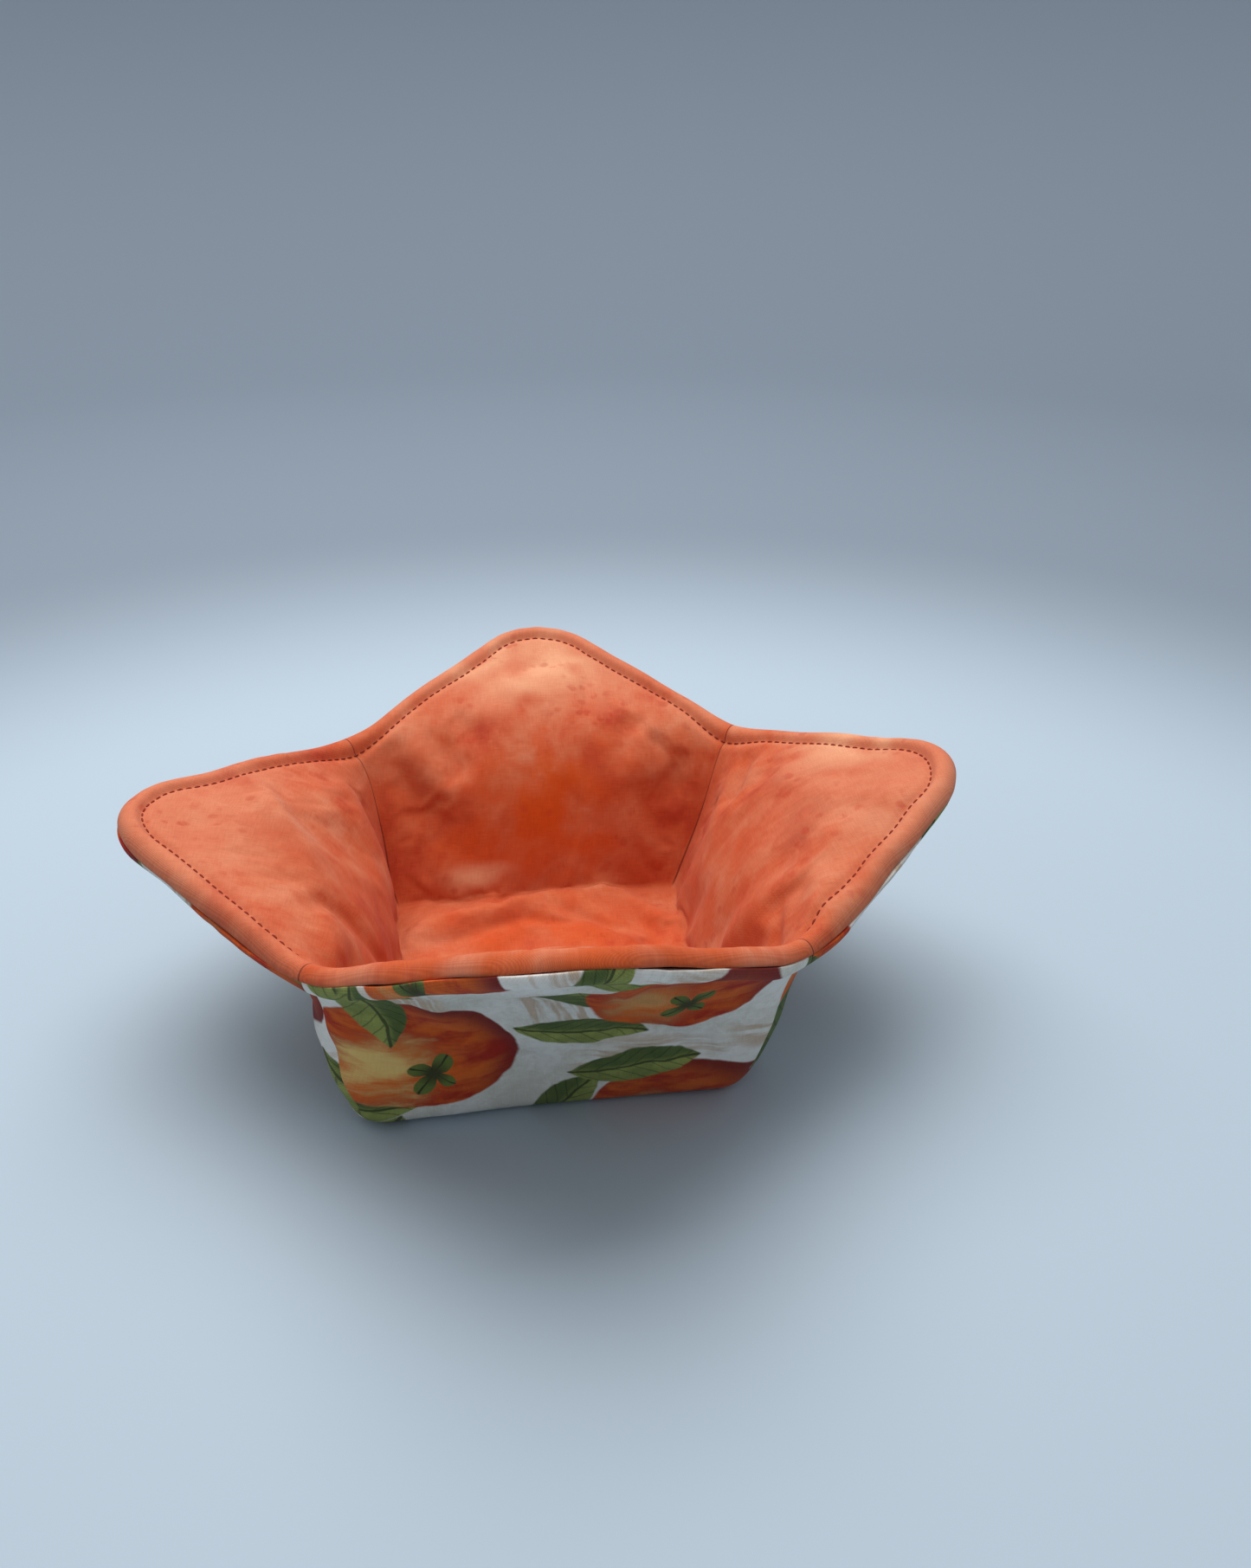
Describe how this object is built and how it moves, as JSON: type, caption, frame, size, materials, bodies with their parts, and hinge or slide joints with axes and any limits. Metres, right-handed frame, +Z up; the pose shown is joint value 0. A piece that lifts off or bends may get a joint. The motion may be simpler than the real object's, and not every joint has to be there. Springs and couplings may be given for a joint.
{
  "type": "microwave bowl cozy",
  "caption": "Padded fabric cradle with a square floor, darted walls and outward flaps, for holding a hot soup or cereal bowl.",
  "frame": {"origin": "middle of the flat underside of the floor", "axes": "+Z up out of the bowl space, +X to the right-hand flap, +Y to the back flap"},
  "size_m": [0.223, 0.2149, 0.0819],
  "materials": {
    "printed_cotton": "matt plain-weave cotton with a painterly fruit and leaf print on cream",
    "batting": "matt cotton wadding",
    "mottled_cotton": "matt plain-weave cotton, mottled orange"
  },
  "bodies": {
    "root": {"outer_cover": "printed_cotton", "outer_batting": "batting", "lining_batting": "batting", "lining": "mottled_cotton"}
  },
  "joints": []
}
